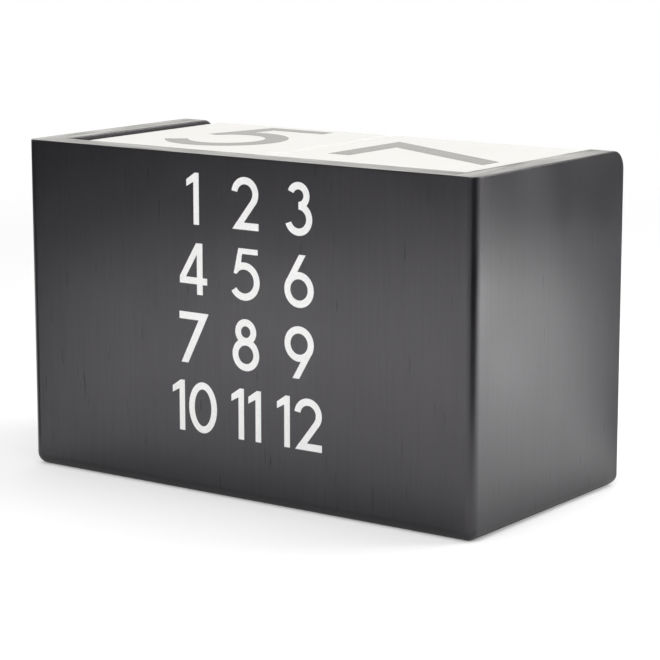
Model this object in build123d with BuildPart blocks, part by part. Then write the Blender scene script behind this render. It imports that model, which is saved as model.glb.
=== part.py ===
from build123d import *
import os

# Perpetual block calendar: an open-fronted wooden case, two number cubes and a row of month bars.
# Sizes are in millimetres. The case runs along X, its open front faces -Y and +Z is up.
# The origin is on the table, under the middle of the case. Left and right are as seen from the front.

# Loose blocks
cube_size = 60.0
cube_edge_radius = 1.8
bar_count = 3
bar_edge_radius = 1.2
bar_end_chamfer = 0.6

# Play round the loose blocks
left_gap = 1.4
right_gap = 3.2
cube_gap = 0.4
back_gap = 1.0
bar_gap = 0.3
bar_end_gap = 1.0
seat_gap = 0.1

# Case: one board thickness, and what it shows past the blocks
board = 7.5
front_recess = 2.0
rim_height = 0.5

# Roundings of the case, sanded after it is glued up
back_edge_radius = 2.5
foot_radius = 3.0
front_corner_radius = 5.0
rim_radius = 0.3

# Blind dowels in the butt joints
dowel_diameter = 4.0
dowel_length = 16.0
dowel_face_depth = 5.0
dowel_chamfer = 0.5
dowel_count = 2
dowel_inset = 13.0
dowel_slack = 0.05
dowel_end_slack = 0.4

# Bars that stand side by side are together as deep as one cube, and as long as the case lets them be
bar_section = (cube_size - (bar_count - 1) * bar_gap) / bar_count
bar_pitch = bar_section + bar_gap
bar_seat = board + seat_gap
cube_seat = bar_seat + bar_section + seat_gap

# The case is made to the blocks
inner_width = left_gap + cube_size + cube_gap + cube_size + right_gap
inner_depth = front_recess + cube_size + back_gap
case_width = inner_width + 2 * board
case_depth = inner_depth + board
case_height = cube_seat + cube_size + rim_height
bar_length = inner_width - 2 * bar_end_gap

# Places of the faces and middles that the pieces share
front_y = -case_depth / 2
back_inner_y = front_y + inner_depth
back_middle_y = back_inner_y + board / 2
base_middle_y = front_y + inner_depth / 2
cube_middle_y = front_y + front_recess + cube_size / 2
tens_x = -inner_width / 2 + left_gap + cube_size / 2
units_x = tens_x + cube_size + cube_gap

# Dowel rows: the back panel's rows run up its ends, the base panel's rows run along its ends
dowel_hole_radius = dowel_diameter / 2 + dowel_slack
dowel_edge_depth = dowel_length - dowel_face_depth
back_row_pitch = (case_height - 2 * dowel_inset) / (dowel_count - 1)
base_row_pitch = (inner_depth - 2 * dowel_inset) / (dowel_count - 1)


def back_joint(side):
    """Plane of the joint between the back panel and the end panel on one side, facing the back panel."""
    return Plane((side * inner_width / 2, back_middle_y, case_height / 2), x_dir=(0, 0, 1), z_dir=(-side, 0, 0))


def base_joint(side):
    """Plane of the joint between the base panel and the end panel on one side, facing the base panel."""
    return Plane((side * inner_width / 2, base_middle_y, board / 2), x_dir=(0, 1, 0), z_dir=(-side, 0, 0))


def drill_dowel_row(joint, pitch, depth):
    """Drills a row of dowel holes into the board in hand. Each hole is centred on the joint's plane."""
    with Locations(joint):
        with GridLocations(pitch, 0, dowel_count, 1):
            Cylinder(dowel_hole_radius, 2 * (depth + dowel_end_slack), mode=Mode.SUBTRACT)


def add_dowel_row(joint, pitch):
    """Adds a row of dowels, each a short way into the board it meets face on, and further into the other."""
    with Locations(joint.offset(dowel_length / 2 - dowel_face_depth)):
        with GridLocations(pitch, 0, dowel_count, 1):
            Cylinder(dowel_diameter / 2, dowel_length)


def save(piece, name):
    """Labels a finished piece and writes it as one file."""
    piece.part.label = name
    export_step(piece.part, f"parts/{name}.step")


os.makedirs("parts", exist_ok=True)

# The glued-up case as one form, with every open edge eased: the boards are then cut out of it,
# so the roundings run on across the joints
with BuildPart() as case_form:
    with BuildSketch():
        Rectangle(case_width, case_depth)
    extrude(amount=case_height)
    # The room for the blocks is open at the front and at the top
    with BuildSketch(Plane.XY.offset(board)):
        with Locations((0, front_y)):
            Rectangle(inner_width, 2 * inner_depth)
    extrude(amount=case_height, mode=Mode.SUBTRACT)
    fillet(case_form.edges().filter_by(Axis.Z).group_by(Axis.Y)[-1], radius=back_edge_radius)
    front_top_edges = case_form.edges().filter_by(Axis.X).group_by(Axis.Z)[-1].group_by(Axis.Y)[0]
    fillet(front_top_edges, radius=front_corner_radius)
    fillet(case_form.faces().sort_by(Axis.Z)[0].edges(), radius=foot_radius)
    rim_edges = case_form.faces().sort_by(Axis.Z)[-1].edges().group_by(Axis.Y)[1:]
    fillet([edge for group in rim_edges for edge in group], radius=rim_radius)

# Back panel: stands between the end panels, over the whole height of the case
with BuildPart() as back_panel:
    add(case_form.part)
    with Locations((0, back_middle_y, case_height / 2)):
        Box(inner_width, board, case_height, mode=Mode.INTERSECT)
    for side in (-1, 1):
        drill_dowel_row(back_joint(side), back_row_pitch, dowel_edge_depth)
save(back_panel, "back_panel")

# Base panel: lies between the end panels, and is glued to the back panel along its rear edge
with BuildPart() as base_panel:
    add(case_form.part)
    with Locations((0, base_middle_y, board / 2)):
        Box(inner_width, inner_depth, board, mode=Mode.INTERSECT)
    for side in (-1, 1):
        drill_dowel_row(base_joint(side), base_row_pitch, dowel_edge_depth)
save(base_panel, "base_panel")

# End panels: they run over the whole depth and height of the case, with a rounded front top corner
for name, side in (("left_end_panel", -1), ("right_end_panel", 1)):
    with BuildPart() as end_panel:
        add(case_form.part)
        with Locations((side * (inner_width + board) / 2, 0, case_height / 2)):
            Box(board, case_depth, case_height, mode=Mode.INTERSECT)
        drill_dowel_row(back_joint(side), back_row_pitch, dowel_face_depth)
        drill_dowel_row(base_joint(side), base_row_pitch, dowel_face_depth)
    save(end_panel, name)

# Dowels between the back panel and the end panels
with BuildPart() as back_dowels:
    for side in (-1, 1):
        add_dowel_row(back_joint(side), back_row_pitch)
    chamfer(back_dowels.edges().filter_by(GeomType.CIRCLE), length=dowel_chamfer)
save(back_dowels, "back_dowels")

# Dowels between the base panel and the end panels
with BuildPart() as base_dowels:
    for side in (-1, 1):
        add_dowel_row(base_joint(side), base_row_pitch)
    chamfer(base_dowels.edges().filter_by(GeomType.CIRCLE), length=dowel_chamfer)
save(base_dowels, "base_dowels")

# Month bars: square bars that lie side by side on the base, under the cubes
for step, name in enumerate(("front_month_bar", "middle_month_bar", "rear_month_bar")):
    bar_middle_y = cube_middle_y + (step - (bar_count - 1) / 2) * bar_pitch
    with BuildPart(Plane((0, bar_middle_y, bar_seat + bar_section / 2))) as month_bar:
        Box(bar_length, bar_section, bar_section)
        fillet(month_bar.edges().filter_by(Axis.X), radius=bar_edge_radius)
        bar_ends = month_bar.faces().filter_by(Axis.X)
        chamfer(bar_ends.edges(), length=bar_end_chamfer)
    save(month_bar, name)

# Number cubes: they stand side by side on the bars, just below the rim of the case
for name, middle_x in (("tens_cube", tens_x), ("units_cube", units_x)):
    with BuildPart(Plane((middle_x, cube_middle_y, cube_seat + cube_size / 2))) as number_cube:
        Box(cube_size, cube_size, cube_size)
        fillet(number_cube.edges(), radius=cube_edge_radius)
    save(number_cube, name)
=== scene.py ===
import math

import bpy
from bpy.props import FloatProperty, FloatVectorProperty, PointerProperty
from mathutils import Matrix, Vector
from mathutils.geometry import delaunay_2d_cdt


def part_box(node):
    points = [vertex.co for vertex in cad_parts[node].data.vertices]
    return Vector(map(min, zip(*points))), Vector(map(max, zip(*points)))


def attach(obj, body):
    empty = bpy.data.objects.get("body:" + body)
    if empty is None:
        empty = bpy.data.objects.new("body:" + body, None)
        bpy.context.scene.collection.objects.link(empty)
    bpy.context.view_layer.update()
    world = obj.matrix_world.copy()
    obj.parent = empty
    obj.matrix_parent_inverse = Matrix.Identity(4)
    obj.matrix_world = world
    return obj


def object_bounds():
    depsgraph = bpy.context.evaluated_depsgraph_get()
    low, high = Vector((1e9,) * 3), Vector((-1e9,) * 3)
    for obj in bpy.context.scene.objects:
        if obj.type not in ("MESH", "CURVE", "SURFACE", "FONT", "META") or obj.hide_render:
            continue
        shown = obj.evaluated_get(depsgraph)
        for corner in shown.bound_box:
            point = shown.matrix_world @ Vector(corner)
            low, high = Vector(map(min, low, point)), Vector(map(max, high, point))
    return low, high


bl_info = {
    "name": "Block Calendar",
    "version": (1, 0, 0),
    "blender": (4, 5, 0),
    "location": "View3D > Sidebar > Block Calendar",
    "description": "Finishes, prints and stages a wooden perpetual block calendar",
    "category": "Object",
}

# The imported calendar, and its box before anything is added
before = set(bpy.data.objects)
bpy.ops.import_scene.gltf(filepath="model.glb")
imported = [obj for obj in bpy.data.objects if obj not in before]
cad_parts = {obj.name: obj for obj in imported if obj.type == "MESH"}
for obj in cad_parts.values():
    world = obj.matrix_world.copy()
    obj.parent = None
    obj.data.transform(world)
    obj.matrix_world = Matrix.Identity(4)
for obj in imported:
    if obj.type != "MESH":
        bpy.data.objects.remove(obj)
CAD_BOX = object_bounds()
MM = 0.001

# Axes by number
X, Y, Z = range(3)

# The case's boards: their name, their nodes, the axis of their grain and the axis of their width
CASE_BOARDS = (
    ("back", ("back_panel",), Z, X),
    ("base", ("base_panel",), X, Y),
    ("ends", ("left_end_panel", "right_end_panel"), Z, Y),
)
CUBES = ("tens_cube", "units_cube")
BARS = ("front_month_bar", "middle_month_bar", "rear_month_bar")
DOWELS = ("back_dowels", "base_dowels")

X_AXIS = Vector((1, 0, 0))
Y_AXIS = Vector((0, 1, 0))
Z_AXIS = Vector((0, 0, 1))


def linear(hex_colour):
    """An sRGB hex colour as linear red, green, blue and alpha."""
    channels = []
    for start in (1, 3, 5):
        value = int(hex_colour[start:start + 2], 16) / 255
        channels.append(value / 12.92 if value <= 0.04045 else ((value + 0.055) / 1.055) ** 2.4)
    return (*channels, 1.0)


# Figures and capitals: each is drawn from straight strokes, arcs and filled shapes.
# The drawing is CAP units tall, its strokes are STROKE wide, and x runs to the right from its left edge.
CAP = 47.0
STROKE = 6.5
HALF = STROKE / 2
ARC_STEP = 6.0


def bar(x0, y0, x1, y1):
    """A straight stroke with square ends."""
    start = Vector((x0, y0))
    end = Vector((x1, y1))
    along = (end - start).normalized()
    across = Vector((-along.y, along.x)) * HALF
    return [start - across, end - across, end + across, start + across]


def arc(x, y, wide, tall, begin, end):
    """A stroke along an ellipse, from one angle round to another, counter-clockwise."""
    steps = math.ceil((end - begin) / ARC_STEP)
    angles = [math.radians(begin + (end - begin) * step / steps) for step in range(steps + 1)]
    turns = [Vector((math.cos(angle), math.sin(angle))) for angle in angles]
    outside = [Vector((x + (wide + HALF) * turn.x, y + (tall + HALF) * turn.y)) for turn in turns]
    inside = [Vector((x + (wide - HALF) * turn.x, y + (tall - HALF) * turn.y)) for turn in turns]
    return outside + inside[::-1]


def fill(*corners):
    """A filled shape."""
    return [Vector(corner) for corner in corners]


def half_turn(width, shapes):
    """The same shapes upside down, as a nine is a six."""
    return [[Vector((width - point.x, CAP - point.y)) for point in shape] for shape in shapes]


TOP = CAP - HALF
SIX_WIDTH = 31.6
SIX = [
    arc(15.8, 15.8, 12.7, 12.7, 0, 180),
    arc(15.8, 15.8, 12.7, 12.7, 180, 360),
    fill((15.9, CAP), (2.2, 23.8), (9.3, 23.8), (23.1, CAP)),
]
# Each figure or capital: how wide it is, and its shapes
PEN = {
    "0": (32.0, [arc(16, 23.5, 12.9, 20.4, 0, 180), arc(16, 23.5, 12.9, 20.4, 180, 360)]),
    "1": (14.2, [fill((8, 0), (14.2, 0), (14.2, CAP), (9.6, CAP), (0, 40.4), (0, 34.2), (8, 38.6))]),
    "2": (30.0, [
        arc(15, 32.2, 11.7, 11.7, -38, 172),
        fill((0.8, 0), (8.6, 0), (26.7, 23.1), (21.8, 26.9)),
        fill((0.8, 0), (30, 0), (30, STROKE), (5.6, STROKE)),
    ]),
    "3": (28.4, [arc(13.8, 35.2, 8.7, 8.7, -90, 160), arc(13.8, 14.7, 11.6, 11.6, -160, 90)]),
    "4": (31.5, [
        bar(23.1, 0, 23.1, CAP),
        fill((0, 9.4), (31.5, 9.4), (31.5, 15.6), (0, 15.6)),
        fill((0, 15.6), (7.1, 15.6), (26.2, CAP), (19.1, CAP)),
    ]),
    "5": (32.4, [
        fill((8.4, 42.0), (30.1, 42.0), (30.1, CAP), (8.6, CAP)),
        fill((8.6, CAP), (3.2, 24.1), (6.3, 23.4), (8.8, 26.1), (11.5, 34.5), (13.2, 46.0)),
        arc(14.9, 17.3, 14.0, 14.0, -146, 125),
    ]),
    "6": (SIX_WIDTH, SIX),
    "7": (33.3, [fill((1.8, 0), (9.7, 0), (33.3, 46.1), (33.3, CAP), (0, CAP), (0, 40.2), (22.1, 40.2))]),
    "8": (29.6, [
        arc(14.8, 35.4, 8.5, 8.5, 0, 180),
        arc(14.8, 35.4, 8.5, 8.5, 180, 360),
        arc(14.8, 14.8, 11.7, 11.7, 0, 180),
        arc(14.8, 14.8, 11.7, 11.7, 180, 360),
    ]),
    "9": (SIX_WIDTH, half_turn(SIX_WIDTH, SIX)),
    "A": (40.0, [
        fill((0, 0), (6.7, 0), (23.3, CAP), (16.7, CAP)),
        fill((33.3, 0), (40, 0), (23.3, CAP), (16.7, CAP)),
        bar(8, 14.5, 32, 14.5),
    ]),
    "B": (28.8, [
        bar(HALF, 0, HALF, CAP),
        bar(HALF, TOP, 13, TOP),
        bar(HALF, 26.5, 14, 26.5),
        bar(HALF, HALF, 14, HALF),
        arc(13, 35.2, 8.7, 8.7, -90, 90),
        arc(14, 14.8, 11.7, 11.7, -90, 90),
    ]),
    "C": (40.9, [arc(23.5, 23.5, 20.4, 20.4, 42, 318)]),
    "D": (37.5, [
        bar(HALF, 0, HALF, CAP),
        bar(HALF, TOP, 14, TOP),
        bar(HALF, HALF, 14, HALF),
        arc(14, 23.5, 20.4, 20.4, -90, 90),
    ]),
    "E": (25.0, [
        bar(HALF, 0, HALF, CAP),
        bar(0, TOP, 25, TOP),
        bar(0, 24.5, 24, 24.5),
        bar(0, HALF, 25, HALF),
    ]),
    "F": (24.0, [bar(HALF, 0, HALF, CAP), bar(0, TOP, 24, TOP), bar(0, 23.5, 23, 23.5)]),
    "G": (47.0, [arc(23.5, 23.5, 20.4, 20.4, 42, 358), bar(25, 22.8, 47, 22.8)]),
    "J": (18.5, [bar(15.4, 11, 15.4, CAP), arc(7.5, 11, 7.9, 7.9, 195, 360)]),
    "L": (23.0, [bar(HALF, 0, HALF, CAP), bar(0, HALF, 23, HALF)]),
    "M": (48.0, [
        bar(HALF, 0, HALF, CAP),
        bar(48 - HALF, 0, 48 - HALF, CAP),
        fill((20.4, 0), (27.6, 0), (7.2, CAP), (0, CAP)),
        fill((20.4, 0), (27.6, 0), (48, CAP), (40.8, CAP)),
    ]),
    "N": (38.0, [
        bar(HALF, 0, HALF, CAP),
        bar(38 - HALF, 0, 38 - HALF, CAP),
        fill((30.4, 0), (38, 0), (7.6, CAP), (0, CAP)),
    ]),
    "O": (47.0, [arc(23.5, 23.5, 20.4, 20.4, 0, 180), arc(23.5, 23.5, 20.4, 20.4, 180, 360)]),
    "P": (27.0, [
        bar(HALF, 0, HALF, CAP),
        bar(HALF, TOP, 14, TOP),
        bar(HALF, 24.1, 14, 24.1),
        arc(14, 34, 9.9, 9.9, -90, 90),
    ]),
    "R": (29.5, [
        bar(HALF, 0, HALF, CAP),
        bar(HALF, TOP, 14, TOP),
        bar(HALF, 24.1, 14, 24.1),
        arc(14, 34, 9.9, 9.9, -90, 90),
        fill((21.8, 0), (29.5, 0), (19.2, 26), (12, 25)),
    ]),
    "S": (28.1, [arc(13.5, 35, 8.9, 8.9, 35, 270), arc(13.5, 14.6, 11.5, 11.5, -150, 90)]),
    "T": (30.0, [bar(0, TOP, 30, TOP), bar(15, 0, 15, CAP)]),
    "U": (34.0, [
        bar(HALF, 17, HALF, CAP),
        bar(34 - HALF, 17, 34 - HALF, CAP),
        arc(17, 17, 13.9, 13.9, 180, 360),
    ]),
    "V": (38.0, [
        fill((15.7, 0), (22.3, 0), (6.9, CAP), (0, CAP)),
        fill((15.7, 0), (22.3, 0), (38, CAP), (31.1, CAP)),
    ]),
    "Y": (36.0, [
        bar(18, 0, 18, 21),
        fill((14.9, 19.5), (21.1, 19.5), (7.4, CAP), (0, CAP)),
        fill((14.9, 19.5), (21.1, 19.5), (36, CAP), (28.6, CAP)),
    ]),
}

# What each face of a cube carries: the figure, the way the face looks, which way is up for the figure,
# and how far it was printed aside of and above the middle, in millimetres
CENTRED = (0.0, 0.0)
CUBE_FACES = {
    "tens_cube": (
        ("2", -Y_AXIS, Z_AXIS, CENTRED),
        ("7", Z_AXIS, X_AXIS, (0.5, -2.7)),
        ("0", Y_AXIS, Z_AXIS, CENTRED),
        ("1", -Z_AXIS, -Y_AXIS, CENTRED),
        ("6", -X_AXIS, Z_AXIS, CENTRED),
        ("8", X_AXIS, Z_AXIS, CENTRED),
    ),
    "units_cube": (
        ("4", -Y_AXIS, Z_AXIS, CENTRED),
        ("5", Z_AXIS, -Y_AXIS, (0.0, 2.5)),
        ("1", Y_AXIS, Z_AXIS, CENTRED),
        ("0", -Z_AXIS, -Y_AXIS, CENTRED),
        ("3", -X_AXIS, Z_AXIS, CENTRED),
        ("2", X_AXIS, Z_AXIS, CENTRED),
    ),
}

# The months on a bar follow its four long faces as it is rolled towards the reader
BAR_FACES = ((-Y_AXIS, Z_AXIS), (Z_AXIS, Y_AXIS), (Y_AXIS, -Z_AXIS), (-Z_AXIS, -Y_AXIS))
BAR_MONTHS = {
    "front_month_bar": ("MAY", "JUN", "JUL", "AUG"),
    "middle_month_bar": ("SEP", "OCT", "NOV", "DEC"),
    "rear_month_bar": ("JAN", "FEB", "MAR", "APR"),
}

# The numbers of the months stand on the back panel in rows, read as a page is
MONTHS = 12
NUMBER_COLUMNS = 3
NUMBER_ROWS = MONTHS // NUMBER_COLUMNS


class CalendarFinish(bpy.types.PropertyGroup):
    """Colours and surfaces of the wood, paint and ink."""

    lacquer: FloatVectorProperty(
        name="Lacquer", description="Black of the case", subtype="COLOR", size=4, min=0, max=1,
        default=linear("#1e1d21"))
    lacquer_pore: FloatVectorProperty(
        name="Lacquer in the pores", description="Black where the lacquer has sunk into the grain",
        subtype="COLOR", size=4, min=0, max=1, default=linear("#131216"))
    lacquer_roughness: FloatProperty(
        name="Lacquer roughness", description="How far the case's sheen spreads",
        subtype="FACTOR", min=0, max=1, default=0.31)
    paint: FloatVectorProperty(
        name="Paint", description="White of the cubes and month bars",
        subtype="COLOR", size=4, min=0, max=1, default=linear("#f3f2ef"))
    paint_pore: FloatVectorProperty(
        name="Paint in the pores", description="White where the paint has sunk into the grain",
        subtype="COLOR", size=4, min=0, max=1, default=linear("#efeeea"))
    paint_roughness: FloatProperty(
        name="Paint roughness", description="How far the sheen of the cubes and bars spreads",
        subtype="FACTOR", min=0, max=1, default=0.42)
    ink_black: FloatVectorProperty(
        name="Black ink", description="Ink of the figures and months",
        subtype="COLOR", size=4, min=0, max=1, default=linear("#1b1b1d"))
    ink_white: FloatVectorProperty(
        name="White ink", description="Ink on the back panel", subtype="COLOR", size=4, min=0, max=1,
        default=linear("#fdfdfc"))
    beech: FloatVectorProperty(
        name="Beech", description="Bare wood of the dowels", subtype="COLOR", size=4, min=0, max=1,
        default=linear("#d8b98f"))
    beech_fleck: FloatVectorProperty(
        name="Beech fleck", description="Ray flecks in the bare wood",
        subtype="COLOR", size=4, min=0, max=1, default=linear("#b58c5c"))
    grain_width: FloatProperty(
        name="Grain width", description="Spacing of the wood's lines", unit="LENGTH", default=0.9 * MM)
    grain_length: FloatProperty(
        name="Grain length", description="Length of the wood's lines", unit="LENGTH", default=26 * MM)


class CalendarPrint(bpy.types.PropertyGroup):
    """Sizes of the printed figures, months and numbers."""

    figure_height: FloatProperty(
        name="Figure height", description="Height of a figure on a cube", unit="LENGTH", default=45 * MM)
    month_height: FloatProperty(
        name="Month height", description="Height of a month's capitals on a bar", unit="LENGTH",
        default=11 * MM)
    month_spacing: FloatProperty(
        name="Month spacing", description="Gap between a month's capitals", unit="LENGTH", default=3.2 * MM)
    number_height: FloatProperty(
        name="Number height", description="Height of a number on the back panel", unit="LENGTH",
        default=13.2 * MM)
    number_spacing: FloatProperty(
        name="Number spacing", description="Gap between the two figures of a number", unit="LENGTH",
        default=1.4 * MM)
    number_column: FloatProperty(
        name="Column width", description="Distance between columns of numbers", unit="LENGTH",
        default=16.6 * MM)
    number_row: FloatProperty(
        name="Row height", description="Distance between rows of numbers", unit="LENGTH", default=17.9 * MM)
    number_centre: FloatVectorProperty(
        name="Middle of the numbers", description="Across and up the back panel, seen from behind",
        subtype="TRANSLATION", unit="LENGTH", size=2, default=(2.4 * MM, 49.7 * MM))
    ink_proud: FloatProperty(
        name="Ink thickness", description="How far the ink stands on the surface", unit="LENGTH",
        default=0.03 * MM)
    ink_sunk: FloatProperty(
        name="Ink soak", description="How far the ink goes into the surface", unit="LENGTH",
        default=0.05 * MM)


class CalendarStage(bpy.types.PropertyGroup):
    """Camera, lamps and floor."""

    camera_place: FloatVectorProperty(
        name="Camera place", description="Where the camera stands", subtype="TRANSLATION", unit="LENGTH",
        default=(-369.62 * MM, 511.92 * MM, 158.73 * MM))
    camera_heading: FloatProperty(
        name="Camera heading", description="Turn of the view about the upright axis", subtype="ANGLE",
        default=math.radians(-144.401))
    camera_tilt: FloatProperty(
        name="Camera tilt", description="How far the view looks down", subtype="ANGLE",
        default=math.radians(10.743))
    camera_lens: FloatProperty(
        name="Focal length", description="Lens on a 36 mm wide sensor", subtype="DISTANCE_CAMERA",
        default=133.25)
    floor_white: FloatVectorProperty(
        name="Floor", description="White of the paper that the calendar stands on", subtype="COLOR", size=4,
        min=0, max=1, default=linear("#f6f6f6"))
    room_grey: FloatVectorProperty(
        name="Room", description="Grey of the studio beyond the paper", subtype="COLOR", size=4,
        min=0, max=1, default=linear("#1c1c1c"))
    paper_radius: FloatProperty(
        name="Paper radius", description="Where the white paper starts to end", unit="LENGTH", default=0.32)
    paper_fade: FloatProperty(
        name="Paper fade", description="Width of the band in which the paper gives way", unit="LENGTH",
        default=0.3)
    # Painted shade: the paper's colour is darkened in a box round the calendar's foot, seen only by gloss
    # and bounced light
    painted_shade_half: FloatVectorProperty(
        name="Shade", description="Half size of the paper's deepest shade, which the camera doesn't see",
        subtype="TRANSLATION", unit="LENGTH", default=(0.052, 0.035, 0.0))
    painted_shade_depth: FloatProperty(
        name="Shade depth", description="How dark the shade is",
        subtype="FACTOR", min=0, max=1, default=0.5)
    painted_shade_fade: FloatProperty(
        name="Shade fade", description="Width of the band in which the shade ends", unit="LENGTH",
        default=0.055)
    paper_lift: FloatProperty(
        name="Paper lift", description="White added to the paper as the camera sees it",
        min=0, default=0.22)
    fill_light: FloatProperty(
        name="Fill light", description="Strength of the soft light from all round", min=0, default=0.38)
    overhead_power: FloatProperty(
        name="Overhead lamp", description="Power of the lamp above", unit="POWER", default=3.6)
    side_power: FloatProperty(
        name="Side lamp", description="Power of the lamp beside the end panel", unit="POWER", default=3.2)
    camera_lamp_power: FloatProperty(
        name="Camera lamp", description="Power of the lamp above the camera", unit="POWER", default=6.0)
    back_pool_power: FloatProperty(
        name="Paper lamp behind", description="Power of the lamp on the paper behind the calendar",
        unit="POWER", default=0.2)
    end_pool_power: FloatProperty(
        name="Paper lamp beside", description="Power of the lamp on the paper beside the end panel",
        unit="POWER", default=1.55)


class BlockCalendar(bpy.types.PropertyGroup):
    """All settings of the calendar."""

    finish: PointerProperty(type=CalendarFinish)
    printing: PointerProperty(type=CalendarPrint)
    stage: PointerProperty(type=CalendarStage)


# Refraction of the finishes: the dense lacquer throws back more than plain paint does
LACQUER_IOR = 1.7
PAINT_IOR = 1.5
# Seen straight on, the sheen leans a little to violet
SHEEN_TINT = linear("#fffaff")
# A thin film of wax lies over both, and sharpens what they show at a low angle
WAX_WEIGHT = 0.42
WAX_ROUGHNESS = 0.18
WAX_IOR = 1.5
# The sanded face is wavy by this much, over this length
WAVE_DEPTH = 0.25 * MM
WAVE_LENGTH = 30 * MM
# Spray leaves patches about this wide, which are this much duller or shinier
PATCH_WIDTH = 14 * MM
PATCH_CONTRAST = 0.03
# The grain stays in relief by this much
GRAIN_DEPTH = 0.003 * MM
# A few pores stay open, as short dull nicks along the grain
PORE_WIDTH = 0.5 * MM
PORE_LENGTH = 7 * MM
PORE_DEPTH = 0.02 * MM
PORE_DULLNESS = 0.4
# Growth rings on a sawn end, and how long their lines are
RING_THICKNESS = 1.6 * MM
RING_LENGTH = 22 * MM
# The screen's mesh is finer than this: it is drawn so coarse that it shows close up
MESH_WIDTH = 0.5 * MM
MESH_DEPTH = 0.01 * MM
# Ink lies thinner in clouds about this wide, and there it goes up to this far towards thin ink's grey
CLOUD_WIDTH = 9 * MM
CLOUD_THINNING = 0.06
THIN_INK = linear("#b3b3b3")
# Its roughness varies with the mesh, between these two
INK_SHINIEST = 0.24
INK_DULLEST = 0.32
INK_IOR = 1.5
# The ink's own binder makes a clear skin
SKIN_WEIGHT = 0.5
SKIN_ROUGHNESS = 0.2
# Ray flecks of beech
FLECK_WIDTH = 0.4 * MM
FLECK_LENGTH = 2.5 * MM
FLECK_DEPTH = 0.03 * MM
BEECH_ROUGHNESS = 0.62
BEECH_IOR = 1.45

# Nearly all of a noise lies between these two values
NOISE_LOW = 0.3
NOISE_HIGH = 0.7

# The sockets of a Mix node share their names, so they are given by number
FACTOR = 0
NUMBER_A = 2
NUMBER_B = 3
COLOUR_A = 6
COLOUR_B = 7
MIXED_NUMBER = 0
MIXED_COLOUR = 2


def add(tree, kind, inputs, **settings):
    """Adds a node, with its settings, and sets or links each input that is named."""
    node = tree.nodes.new("ShaderNode" + kind)
    for name, value in settings.items():
        setattr(node, name, value)
    for name, value in inputs.items():
        if isinstance(value, bpy.types.NodeSocket):
            tree.links.new(value, node.inputs[name])
        else:
            node.inputs[name].default_value = value
    return node


def new_material(name):
    """An empty node material."""
    material = bpy.data.materials.new(name)
    material.use_nodes = True
    material.node_tree.nodes.clear()
    return material


def ringed_wax(tree, along, across):
    """Wax on a board: a sawn end takes it unevenly, in long lines that follow the growth rings."""
    texture = add(tree, "TexCoord", {}).outputs
    thickness = X + Y + Z - along - across
    ring = [1 / RING_LENGTH] * 3
    ring[thickness] = 1 / RING_THICKNESS
    layered = add(tree, "Mapping", {"Vector": texture["Object"], "Scale": ring}).outputs["Vector"]
    rings = add(tree, "TexNoise", {"Vector": layered, "Scale": 1.0, "Detail": 2.0, "Roughness": 0.6})
    taken = add(tree, "MapRange", {
        "Value": rings.outputs["Fac"], "From Min": 0.36, "From Max": 0.62, "To Min": 0.0, "To Max": 1.0})
    # A sawn end is what faces along the grain
    facing = add(tree, "SeparateXYZ", {"Vector": texture["Normal"]}).outputs["XYZ"[along]]
    steep = add(tree, "Math", {0: facing}, operation="ABSOLUTE").outputs["Value"]
    sawn = add(tree, "MapRange", {
        "Value": steep, "From Min": 0.8, "From Max": 0.95, "To Min": 0.0, "To Max": 1.0})
    wax = add(tree, "Mix", {
        FACTOR: sawn.outputs["Result"], NUMBER_A: WAX_WEIGHT, NUMBER_B: taken.outputs["Result"]})
    return wax.outputs[MIXED_NUMBER]


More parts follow.
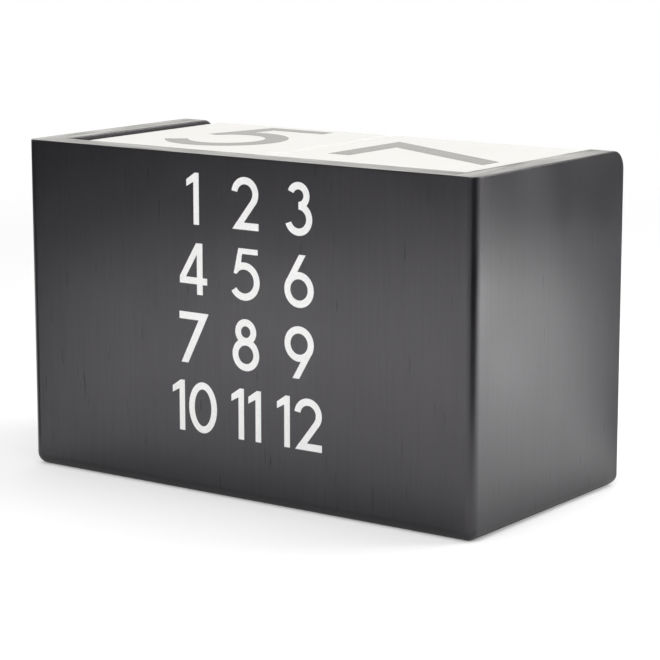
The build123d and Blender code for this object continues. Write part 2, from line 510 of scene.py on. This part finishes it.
def painted_wood(name, finish, colour, pore, roughness, ior, along, across=None):
    """Paint over sanded wood, with the grain along one axis and, on a board, its width along another.

    Paint fills the wood but not quite: fine lines of the grain still show as faint streaks, with a nick
    here and there, the spray leaves the sheen a little uneven, and the face is never dead flat, so
    reflections waver.
    """
    material = new_material(name)
    tree = material.node_tree
    place = add(tree, "TexCoord", {}).outputs["Object"]
    # The grain's lines are drawn coarser than closed-grain wood has them, so that they show in the picture
    line = [1 / finish.grain_width] * 3
    line[along] = 1 / finish.grain_length
    stretched = add(tree, "Mapping", {"Vector": place, "Scale": line}).outputs["Vector"]
    grain = add(tree, "TexNoise", {"Vector": stretched, "Scale": 1.0, "Detail": 3.0, "Roughness": 0.6})
    streak = add(tree, "MapRange", {
        "Value": grain.outputs["Fac"], "From Min": 0.42, "From Max": 0.7, "To Min": 0.0, "To Max": 1.0})
    tone = add(tree, "Mix", {
        FACTOR: streak.outputs["Result"], COLOUR_A: colour, COLOUR_B: pore}, data_type="RGBA")
    patch = add(tree, "TexNoise", {"Vector": place, "Scale": 1 / PATCH_WIDTH, "Detail": 2.0})
    sheen = add(tree, "MapRange", {
        "Value": patch.outputs["Fac"], "From Min": NOISE_LOW, "From Max": NOISE_HIGH,
        "To Min": roughness - PATCH_CONTRAST, "To Max": roughness + PATCH_CONTRAST})
    wave = add(tree, "TexNoise", {"Vector": place, "Scale": 1 / WAVE_LENGTH, "Detail": 1.0})
    wavy = add(tree, "Bump", {"Height": wave.outputs["Fac"], "Strength": 1.0, "Distance": WAVE_DEPTH})
    lined = add(tree, "Bump", {
        "Height": grain.outputs["Fac"], "Strength": 1.0, "Distance": GRAIN_DEPTH,
        "Normal": wavy.outputs["Normal"]})
    nick = [1 / PORE_WIDTH] * 3
    nick[along] = 1 / PORE_LENGTH
    nicked = add(tree, "Mapping", {"Vector": place, "Scale": nick}).outputs["Vector"]
    pores = add(tree, "TexNoise", {"Vector": nicked, "Scale": 1.0, "Detail": 0.0})
    # Only the noise's highest peaks are pores
    dull = add(tree, "MapRange", {
        "Value": pores.outputs["Fac"], "From Min": 0.79, "From Max": 0.85,
        "To Min": 0.0, "To Max": PORE_DULLNESS}).outputs["Result"]
    rough = add(tree, "Math", {0: sheen.outputs["Result"], 1: dull}, operation="ADD")
    pitted = add(tree, "Bump", {
        "Height": dull, "Strength": 1.0, "Distance": PORE_DEPTH / PORE_DULLNESS,
        "Normal": lined.outputs["Normal"]}, invert=True)
    # A block is sanded alike on all sides, but a board is left with sawn ends
    wax = WAX_WEIGHT if across is None else ringed_wax(tree, along, across)
    shader = add(tree, "BsdfPrincipled", {
        "Base Color": tone.outputs[MIXED_COLOUR], "Roughness": rough.outputs["Value"],
        "Normal": pitted.outputs["Normal"], "IOR": ior, "Specular Tint": SHEEN_TINT,
        "Coat Weight": wax, "Coat Roughness": WAX_ROUGHNESS, "Coat IOR": WAX_IOR})
    add(tree, "OutputMaterial", {"Surface": shader.outputs["BSDF"]})
    return material


def screen_ink(name, colour):
    """Screen-printed ink: a film that lies thinner in places, and that the screen's mesh leaves rough."""
    material = new_material(name)
    tree = material.node_tree
    place = add(tree, "TexCoord", {}).outputs["Object"]
    cloud = add(tree, "TexNoise", {"Vector": place, "Scale": 1 / CLOUD_WIDTH, "Detail": 2.0})
    thinned = add(tree, "MapRange", {
        "Value": cloud.outputs["Fac"], "From Min": NOISE_LOW, "From Max": NOISE_HIGH,
        "To Min": 0.0, "To Max": CLOUD_THINNING})
    tone = add(tree, "Mix", {
        FACTOR: thinned.outputs["Result"], COLOUR_A: colour, COLOUR_B: THIN_INK}, data_type="RGBA")
    mesh = add(tree, "TexNoise", {"Vector": place, "Scale": 1 / MESH_WIDTH, "Detail": 2.0})
    sheen = add(tree, "MapRange", {
        "Value": mesh.outputs["Fac"], "From Min": NOISE_LOW, "From Max": NOISE_HIGH,
        "To Min": INK_SHINIEST, "To Max": INK_DULLEST})
    woven = add(tree, "Bump", {"Height": mesh.outputs["Fac"], "Strength": 1.0, "Distance": MESH_DEPTH})
    shader = add(tree, "BsdfPrincipled", {
        "Base Color": tone.outputs[MIXED_COLOUR], "Roughness": sheen.outputs["Result"],
        "Normal": woven.outputs["Normal"], "IOR": INK_IOR,
        "Coat Weight": SKIN_WEIGHT, "Coat Roughness": SKIN_ROUGHNESS, "Coat IOR": INK_IOR})
    add(tree, "OutputMaterial", {"Surface": shader.outputs["BSDF"]})
    return material


def bare_beech(name, finish):
    """Turned beech: pale, dull wood with short dark ray flecks along the dowel."""
    material = new_material(name)
    tree = material.node_tree
    place = add(tree, "TexCoord", {}).outputs["Object"]
    # The dowels lie along X
    stretched = add(tree, "Mapping", {
        "Vector": place, "Scale": (1 / FLECK_LENGTH, 1 / FLECK_WIDTH, 1 / FLECK_WIDTH)}).outputs["Vector"]
    rays = add(tree, "TexNoise", {"Vector": stretched, "Scale": 1.0, "Detail": 2.0})
    fleck = add(tree, "MapRange", {
        "Value": rays.outputs["Fac"], "From Min": 0.5, "From Max": 0.68, "To Min": 0.0, "To Max": 1.0})
    tone = add(tree, "Mix", {
        FACTOR: fleck.outputs["Result"], COLOUR_A: finish.beech, COLOUR_B: finish.beech_fleck},
        data_type="RGBA")
    turned = add(tree, "Bump", {"Height": rays.outputs["Fac"], "Strength": 1.0, "Distance": FLECK_DEPTH})
    shader = add(tree, "BsdfPrincipled", {
        "Base Color": tone.outputs[MIXED_COLOUR], "Roughness": BEECH_ROUGHNESS, "IOR": BEECH_IOR,
        "Normal": turned.outputs["Normal"]})
    add(tree, "OutputMaterial", {"Surface": shader.outputs["BSDF"]})
    return material


def coat_nodes(names, material):
    """Gives each CAD node this material."""
    for name in names:
        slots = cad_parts[name].material_slots
        if not slots:
            raise RuntimeError(f"{name} has no material slot")
        for slot in slots:
            slot.material = material


def set_word(word, height, spacing):
    """The outlines of a word, in metres, centred on its own middle."""
    scale = height / CAP
    gap = spacing / scale
    width = sum(PEN[letter][0] for letter in word) + gap * (len(word) - 1)
    outlines = []
    left = -width / 2
    for letter in word:
        advance, shapes = PEN[letter]
        for shape in shapes:
            outlines.append([Vector((point.x + left, point.y - CAP / 2)) * scale for point in shape])
        left += advance + gap
    return outlines


# Of the triangulation: leave out what lies outside every outline, and take points this near as one
INSIDE_ONLY = 1
SAME_POINT = 1e-8


def joined(outlines):
    """Overlapping outlines as one flat net: its points and its triangles, without the holes."""
    points = [point for outline in outlines for point in outline]
    faces = []
    for outline in outlines:
        first = faces[-1][-1] + 1 if faces else 0
        faces.append(list(range(first, first + len(outline))))
    corners, _, triangles, _, _, owners = delaunay_2d_cdt(points, [], faces, INSIDE_ONLY, SAME_POINT)
    return corners, [triangle for triangle, owner in zip(triangles, owners) if owner]


def on_face(centre, normal, up):
    """Placement of a print that lies on a face, seen from outside with up at the top."""
    right = up.cross(normal)
    turn = Matrix((right, up, normal)).transposed()
    return Matrix.Translation(centre) @ turn.to_4x4()


def print_piece(name, words, printing, material, body):
    """Makes one printed piece of thin closed films from words: lists of outlines and where they lie."""
    points = []
    faces = []
    for outlines, place in words:
        corners, triangles = joined(outlines)
        first = len(points)
        below = first + len(corners)
        points += [place @ Vector((corner.x, corner.y, printing.ink_proud)) for corner in corners]
        points += [place @ Vector((corner.x, corner.y, -printing.ink_sunk)) for corner in corners]
        edges = set()
        for a, b, c in triangles:
            faces.append((first + a, first + b, first + c))
            faces.append((below + c, below + b, below + a))
            edges.update(((a, b), (b, c), (c, a)))
        for a, b in sorted(edges):
            if (b, a) not in edges:
                faces.append((first + b, first + a, below + a, below + b))
    mesh = bpy.data.meshes.new(name)
    mesh.from_pydata(points, [], faces)
    mesh.validate()
    piece = bpy.data.objects.new(name, mesh)
    bpy.context.scene.collection.objects.link(piece)
    mesh.materials.append(material)
    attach(piece, body)


class BLOCKCALENDAR_OT_lacquer_case(bpy.types.Operator):
    """Lacquer the boards of the case"""

    bl_idname = "block_calendar.lacquer_case"
    bl_label = "Lacquer the Case"

    def execute(self, context):
        finish = context.scene.block_calendar.finish
        for where, boards, along, across in CASE_BOARDS:
            lacquer = painted_wood(
                f"satin_black_lacquer_on_sanded_{where}", finish, finish.lacquer, finish.lacquer_pore,
                finish.lacquer_roughness, LACQUER_IOR, along, across)
            coat_nodes(boards, lacquer)
        return {"FINISHED"}


class BLOCKCALENDAR_OT_paint_blocks(bpy.types.Operator):
    """Paint the number cubes and the month bars"""

    bl_idname = "block_calendar.paint_blocks"
    bl_label = "Paint the Blocks"

    def execute(self, context):
        finish = context.scene.block_calendar.finish
        cube_paint = painted_wood(
            "satin_white_paint_on_sanded_cubes", finish, finish.paint, finish.paint_pore,
            finish.paint_roughness, PAINT_IOR, Y)
        bar_paint = painted_wood(
            "satin_white_paint_on_sanded_bars", finish, finish.paint, finish.paint_pore,
            finish.paint_roughness, PAINT_IOR, X)
        coat_nodes(CUBES, cube_paint)
        coat_nodes(BARS, bar_paint)
        return {"FINISHED"}


class BLOCKCALENDAR_OT_turn_dowels(bpy.types.Operator):
    """Leave the dowels as bare beech"""

    bl_idname = "block_calendar.turn_dowels"
    bl_label = "Turn the Dowels"

    def execute(self, context):
        finish = context.scene.block_calendar.finish
        coat_nodes(DOWELS, bare_beech("bare_turned_beech", finish))
        return {"FINISHED"}


class BLOCKCALENDAR_OT_print_figures(bpy.types.Operator):
    """Print a figure on each face of the number cubes"""

    bl_idname = "block_calendar.print_figures"
    bl_label = "Print the Figures"

    def execute(self, context):
        settings = context.scene.block_calendar
        ink = screen_ink("screen_printed_black_figures", settings.finish.ink_black)
        for cube in CUBES:
            low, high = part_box(cube)
            middle = (Vector(low) + Vector(high)) / 2
            half = (high[X] - low[X]) / 2
            words = []
            for figure, normal, up, (aside, above) in CUBE_FACES[cube]:
                place = on_face(middle + normal * half, normal, up)
                place = place @ Matrix.Translation((aside * MM, above * MM, 0))
                words.append((set_word(figure, settings.printing.figure_height, 0), place))
            print_piece(f"{cube}_figures", words, settings.printing, ink, cube)
        return {"FINISHED"}


class BLOCKCALENDAR_OT_print_months(bpy.types.Operator):
    """Print a month on each long face of the month bars"""

    bl_idname = "block_calendar.print_months"
    bl_label = "Print the Months"

    def execute(self, context):
        settings = context.scene.block_calendar
        printing = settings.printing
        ink = screen_ink("screen_printed_black_months", settings.finish.ink_black)
        for month_bar in BARS:
            low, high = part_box(month_bar)
            middle = (Vector(low) + Vector(high)) / 2
            half = (high[Z] - low[Z]) / 2
            words = []
            for month, (normal, up) in zip(BAR_MONTHS[month_bar], BAR_FACES):
                place = on_face(middle + normal * half, normal, up)
                words.append((set_word(month, printing.month_height, printing.month_spacing), place))
            print_piece(f"{month_bar}_months", words, printing, ink, month_bar)
        return {"FINISHED"}


class BLOCKCALENDAR_OT_print_numbers(bpy.types.Operator):
    """Print the numbers of the months on the back panel"""

    bl_idname = "block_calendar.print_numbers"
    bl_label = "Print the Numbers"

    def execute(self, context):
        settings = context.scene.block_calendar
        printing = settings.printing
        ink = screen_ink("screen_printed_white_numbers", settings.finish.ink_white)
        _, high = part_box("back_panel")
        across, height = printing.number_centre
        page = on_face(Vector((-across, high[Y], height)), Y_AXIS, Z_AXIS)
        words = []
        for month in range(MONTHS):
            row, column = divmod(month, NUMBER_COLUMNS)
            offset = Vector((
                (column - (NUMBER_COLUMNS - 1) / 2) * printing.number_column,
                ((NUMBER_ROWS - 1) / 2 - row) * printing.number_row,
                0))
            words.append((
                set_word(str(month + 1), printing.number_height, printing.number_spacing),
                page @ Matrix.Translation(offset)))
        print_piece("back_panel_numbers", words, printing, ink, "case")
        return {"FINISHED"}


# The stage, in metres. The calendar stands on the origin and the camera sees its back, from +Y and -X.
FLOOR_REACH = 4.0
WHITE = linear("#ffffff")
CARD_BLACK = linear("#0c0c0c")
# A sensor is measured in millimetres
SENSOR_WIDTH = 36.0
# Soft lamps that face the calendar: name, place, width, and the setting that holds the power
SOFTBOXES = (
    ("overhead_softbox", (0.0, -0.05, 1.1), 0.9, "overhead_power"),
    ("side_softbox", (-0.62, -0.62, 0.34), 0.5, "side_power"),
    ("camera_softbox", (-0.15, 0.95, 0.75), 0.6, "camera_lamp_power"),
)
# Lamps that hang over the paper and light a pool on it, for the lacquer to mirror:
# name, place over the paper, width, spread in degrees, and the setting that holds the power
PAPER_LAMP_HEIGHT = 0.6
PAPER_LAMPS = (
    ("paper_lamp_behind", (0.134, 0.306), 0.29, 24, "back_pool_power"),
    ("paper_lamp_beside", (-0.366, -0.246), 0.22, 59, "end_pool_power"),
)
# Black cards on edge, as hung beside glossy things to darken one side of them: name and ends of the foot
FLAG_HEIGHT = 0.35
FLAGS = (
    ("flag_behind", (0.082, 0.039), (0.408, 0.419)),
    ("flag_beside", (-0.071, -0.043), (-0.27, -0.343)),
    ("flag_corner", (-0.126, 0.161), (-0.208, 0.049)),
)
# What gloss sees past the paper, all slightly warm: a bright backdrop before the open side, and a dim room
# behind the camera. The one gives way to the other as the Y of a ray's heading goes from END to START.
BACKDROP_TINT = linear("#fffef9")
BACKDROP_END = -0.1
ROOM_START = 0.5
ROOM_LIGHT = 0.03


def soft_lamp(name, place, target, size, power, spread=math.pi):
    """A square soft lamp that faces the target and isn't seen itself."""
    light = bpy.data.lights.new(name, "AREA")
    light.shape = "SQUARE"
    light.size = size
    light.energy = power
    light.spread = spread
    lamp = bpy.data.objects.new(name, light)
    lamp.location = place
    lamp.rotation_mode = "QUATERNION"
    lamp.rotation_quaternion = (Vector(target) - Vector(place)).to_track_quat("-Z", "Y")
    lamp.visible_camera = False
    bpy.context.scene.collection.objects.link(lamp)


def black_card():
    """Dull black card, which throws back next to nothing."""
    material = new_material("matt_black_card")
    tree = material.node_tree
    card = add(tree, "BsdfDiffuse", {"Color": CARD_BLACK})
    add(tree, "OutputMaterial", {"Surface": card.outputs["BSDF"]})
    return material


def flat_piece(name, corners, material):
    """A flat piece of the stage with four corners."""
    mesh = bpy.data.meshes.new(name)
    mesh.from_pydata(corners, [], [(0, 1, 2, 3)])
    mesh.materials.append(material)
    piece = bpy.data.objects.new(name, mesh)
    bpy.context.scene.collection.objects.link(piece)
    return piece


def black_flag(name, start, end, card):
    """A black card on edge that only gloss sees."""
    corners = [(*start, 0), (*end, 0), (*end, FLAG_HEIGHT), (*start, FLAG_HEIGHT)]
    flag = flat_piece(name, corners, card)
    flag.visible_camera = False
    flag.visible_diffuse = False
    flag.visible_shadow = False


def paper_floor(stage):
    """White paper under the calendar: bright round it, with a painted shade along its foot that only gloss
    and bounced light see, and plain white to the camera further out.
    """
    material = new_material("matt_white_paper_sweep")
    tree = material.node_tree
    place = add(tree, "TexCoord", {}).outputs["Object"]
    distance = add(tree, "VectorMath", {0: place}, operation="LENGTH").outputs["Value"]
    beyond = add(tree, "MapRange", {
        "Value": distance,
        "From Min": stage.paper_radius, "From Max": stage.paper_radius + stage.paper_fade,
        "To Min": 0.0, "To Max": 1.0}, interpolation_type="SMOOTHSTEP").outputs["Result"]
    # For all but the camera, the paper carries a painted shade along the calendar's foot and is dark far
    # out, so that the lacquer mirrors the bright band between
    folded = add(tree, "VectorMath", {0: place}, operation="ABSOLUTE").outputs["Vector"]
    outside = add(tree, "VectorMath", {
        0: folded, 1: stage.painted_shade_half}, operation="SUBTRACT").outputs["Vector"]
    clear = add(tree, "VectorMath", {0: outside, 1: (0, 0, 0)}, operation="MAXIMUM").outputs["Vector"]
    away = add(tree, "VectorMath", {0: clear}, operation="LENGTH").outputs["Value"]
    # Painted shade: near the foot the paper's colour is darkened, at most by the shade depth
    painted_foot_shade = add(tree, "MapRange", {
        "Value": away, "From Min": 0.0, "From Max": stage.painted_shade_fade,
        "To Min": stage.painted_shade_depth, "To Max": 0.0}, interpolation_type="SMOOTHSTEP").outputs["Result"]
    seen = add(tree, "LightPath", {}).outputs["Is Camera Ray"]
    unseen = add(tree, "Math", {0: 1.0, 1: seen}, operation="SUBTRACT").outputs["Value"]
    dark = add(tree, "Math", {0: beyond, 1: painted_foot_shade}, operation="MAXIMUM").outputs["Value"]
    dim = add(tree, "Math", {0: unseen, 1: dark}, operation="MULTIPLY").outputs["Value"]
    tone = add(tree, "Mix", {
        FACTOR: dim, COLOUR_A: stage.floor_white, COLOUR_B: stage.room_grey}, data_type="RGBA")
    paper = add(tree, "BsdfDiffuse", {"Color": tone.outputs[MIXED_COLOUR]})
    # The camera sees the lit paper lifted to white, so that only the shadow is left on it
    lift = add(tree, "Math", {0: seen, 1: stage.paper_lift}, operation="MULTIPLY").outputs["Value"]
    glow = add(tree, "Emission", {"Color": WHITE, "Strength": lift})
    lifted = add(tree, "AddShader", {0: paper.outputs["BSDF"], 1: glow.outputs["Emission"]})
    white = add(tree, "Emission", {"Color": WHITE, "Strength": 1.0})
    seen_beyond = add(tree, "Math", {0: seen, 1: beyond}, operation="MULTIPLY").outputs["Value"]
    surface = add(tree, "MixShader", {
        0: seen_beyond, 1: lifted.outputs["Shader"], 2: white.outputs["Emission"]})
    add(tree, "OutputMaterial", {"Surface": surface.outputs["Shader"]})
    return material


def studio_air(stage):
    """Plain white for the camera, a backdrop and a dim room for gloss, and soft fill for the rest."""
    world = bpy.data.worlds.new("studio_air")
    world.use_nodes = True
    tree = world.node_tree
    tree.nodes.clear()
    ray = add(tree, "LightPath", {}).outputs
    heading = add(tree, "TexCoord", {}).outputs["Generated"]
    backward = add(tree, "SeparateXYZ", {"Vector": heading}).outputs["Y"]
    backdrop = add(tree, "MapRange", {
        "Value": backward, "From Min": BACKDROP_END, "From Max": ROOM_START,
        "To Min": 1.0, "To Max": ROOM_LIGHT})
    glossy = add(tree, "Mix", {
        FACTOR: ray["Is Glossy Ray"], NUMBER_A: stage.fill_light, NUMBER_B: backdrop.outputs["Result"]})
    strength = add(tree, "Mix", {
        FACTOR: ray["Is Camera Ray"], NUMBER_A: glossy.outputs[MIXED_NUMBER], NUMBER_B: 1.0})
    tint = add(tree, "Mix", {
        FACTOR: ray["Is Glossy Ray"], COLOUR_A: WHITE, COLOUR_B: BACKDROP_TINT}, data_type="RGBA")
    air = add(tree, "Background", {
        "Color": tint.outputs[MIXED_COLOUR], "Strength": strength.outputs[MIXED_NUMBER]})
    add(tree, "OutputWorld", {"Surface": air.outputs["Background"]})
    return world


class BLOCKCALENDAR_OT_set_stage(bpy.types.Operator):
    """Set up the floor, the lamps and the camera"""

    bl_idname = "block_calendar.set_stage"
    bl_label = "Set the Stage"

    def execute(self, context):
        scene = context.scene
        stage = scene.block_calendar.stage
        scene.view_settings.view_transform = "Standard"
        scene.world = studio_air(stage)

        signs = ((-1, -1), (1, -1), (1, 1), (-1, 1))
        corners = [(x * FLOOR_REACH, y * FLOOR_REACH, 0) for x, y in signs]
        floor = flat_piece("floor", corners, paper_floor(stage))

        middle = (CAD_BOX[0] + CAD_BOX[1]) / 2
        for name, place, size, power in SOFTBOXES:
            soft_lamp(name, place, middle, size, getattr(stage, power))
        for name, (x, y), size, spread, power in PAPER_LAMPS:
            hung = (x, y, PAPER_LAMP_HEIGHT)
            soft_lamp(name, hung, (x, y, 0), size, getattr(stage, power), math.radians(spread))
        card = black_card()
        for name, start, end in FLAGS:
            black_flag(name, start, end, card)

        camera_data = bpy.data.cameras.new("camera")
        camera_data.lens = stage.camera_lens
        camera_data.sensor_width = SENSOR_WIDTH
        camera = bpy.data.objects.new("camera", camera_data)
        camera.location = stage.camera_place
        camera.rotation_mode = "QUATERNION"
        turn = Matrix.Rotation(stage.camera_heading, 4, "Z")
        turn = turn @ Matrix.Rotation(math.pi / 2 - stage.camera_tilt, 4, "X")
        camera.rotation_quaternion = turn.to_quaternion()
        scene.collection.objects.link(camera)
        scene.camera = camera
        return {"FINISHED"}


STEPS = (
    BLOCKCALENDAR_OT_lacquer_case,
    BLOCKCALENDAR_OT_paint_blocks,
    BLOCKCALENDAR_OT_turn_dowels,
    BLOCKCALENDAR_OT_print_figures,
    BLOCKCALENDAR_OT_print_months,
    BLOCKCALENDAR_OT_print_numbers,
    BLOCKCALENDAR_OT_set_stage,
)


class BLOCKCALENDAR_PT_sidebar(bpy.types.Panel):
    """Settings and steps of the block calendar"""

    bl_idname = "BLOCKCALENDAR_PT_sidebar"
    bl_label = "Block Calendar"
    bl_space_type = "VIEW_3D"
    bl_region_type = "UI"
    bl_category = "Block Calendar"

    def draw(self, context):
        settings = context.scene.block_calendar
        for group in (settings.finish, settings.printing, settings.stage):
            box = self.layout.box()
            for name in group.__annotations__:
                box.prop(group, name)
        for step in STEPS:
            self.layout.operator(step.bl_idname)


CLASSES = (CalendarFinish, CalendarPrint, CalendarStage, BlockCalendar, *STEPS, BLOCKCALENDAR_PT_sidebar)


def register():
    for each in CLASSES:
        bpy.utils.register_class(each)
    bpy.types.Scene.block_calendar = PointerProperty(type=BlockCalendar)


def unregister():
    del bpy.types.Scene.block_calendar
    for each in reversed(CLASSES):
        bpy.utils.unregister_class(each)


def main():
    """Finishes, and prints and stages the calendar."""
    register()
    bpy.ops.block_calendar.lacquer_case()
    bpy.ops.block_calendar.paint_blocks()
    bpy.ops.block_calendar.turn_dowels()
    bpy.ops.block_calendar.print_figures()
    bpy.ops.block_calendar.print_months()
    bpy.ops.block_calendar.print_numbers()
    bpy.ops.block_calendar.set_stage()


if __name__ == "__main__":
    main()
